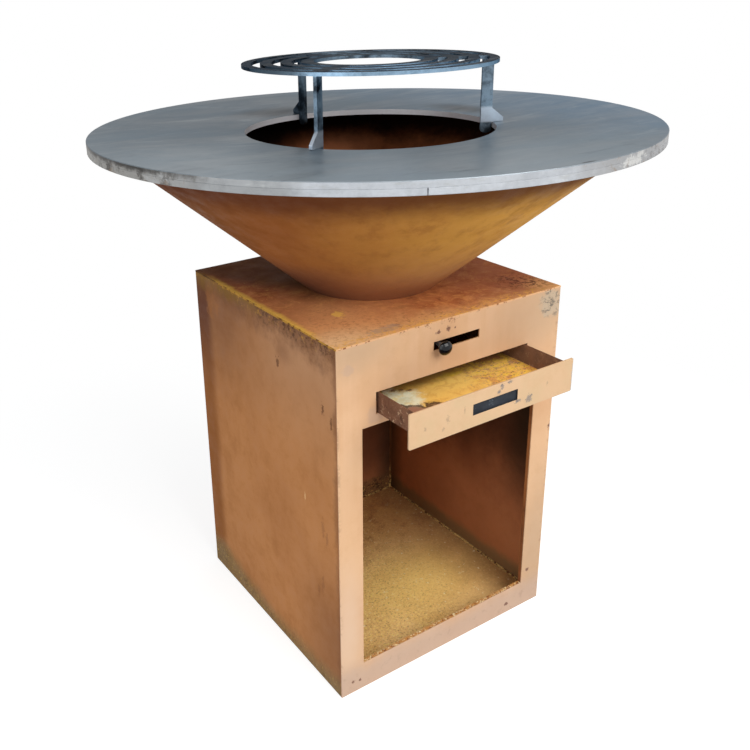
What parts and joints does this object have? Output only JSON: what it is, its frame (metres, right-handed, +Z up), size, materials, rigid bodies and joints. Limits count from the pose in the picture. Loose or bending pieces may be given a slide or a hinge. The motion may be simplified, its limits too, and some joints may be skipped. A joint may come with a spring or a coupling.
{
  "type": "fire pit grill",
  "caption": "Weathering-steel fire pit grill: log-store cabinet with ash drawer and shutter lever, conical fire bowl, ring griddle and raised slotted grate.",
  "frame": {"origin": "on the ground, under the axis of the fire bowl", "axes": "+Z up along the bowl's axis; the drawer front faces -Y; +X is the right-hand side seen from the front"},
  "size_m": [1, 1, 1.1],
  "materials": {
    "weathering_steel": "weathered rust patina, matt",
    "mill_steel": "mill-scaled cooking steel, satin",
    "grate_steel": "dark blued steel, satin",
    "zinc_steel": "plain zinc-plated fastener steel",
    "knob_black": "moulded heat-proof black, glossy"
  },
  "bodies": {
    "cabinet": {"cabinet_top": "weathering_steel", "cabinet_side_left": "weathering_steel", "cabinet_side_right": "weathering_steel", "cabinet_back": "weathering_steel", "front_fascia": "weathering_steel", "store_floor": "weathering_steel", "drawer_deck": "weathering_steel", "drawer_guide_left": "weathering_steel", "drawer_guide_right": "weathering_steel", "bowl_cone": "weathering_steel", "bowl_floor": "weathering_steel", "ash_chute": "weathering_steel", "ash_plate": "weathering_steel", "pivot_bolt": "zinc_steel", "pivot_washer": "zinc_steel", "pivot_nut": "zinc_steel", "bowl_bolts": "zinc_steel", "bowl_washers": "zinc_steel", "bowl_nuts": "zinc_steel"},
    "damper": {"shutter_plate": "weathering_steel", "lever_rod": "zinc_steel", "damper_knob": "knob_black", "knob_nut": "zinc_steel"},
    "drawer": {"drawer_front": "weathering_steel", "drawer_tray": "weathering_steel"},
    "griddle": {"griddle_plate": "mill_steel", "griddle_rim_band": "mill_steel"},
    "grate": {"grate_disc": "grate_steel", "grate_leg_back": "grate_steel", "grate_leg_left": "grate_steel", "grate_leg_right": "grate_steel"}
  },
  "joints": [
    {"name": "drawer_slide", "type": "slide", "parent": "cabinet", "child": "drawer", "axis": [0, -1, 0], "range_m": [-0.0947, 0.2]},
    {"name": "shutter_turn", "type": "hinge", "parent": "cabinet", "child": "damper", "pos_m": [0, 0, 0.645], "axis": [0, 0, 1], "range_deg": [-2, 19]},
    {"name": "griddle_lift", "type": "slide", "parent": "cabinet", "child": "griddle", "axis": [0, 0, 1], "range_m": [0, 0.15]},
    {"name": "grate_lift", "type": "slide", "parent": "griddle", "child": "grate", "axis": [0, 0, 1], "range_m": [0, 0.12]}
  ]
}
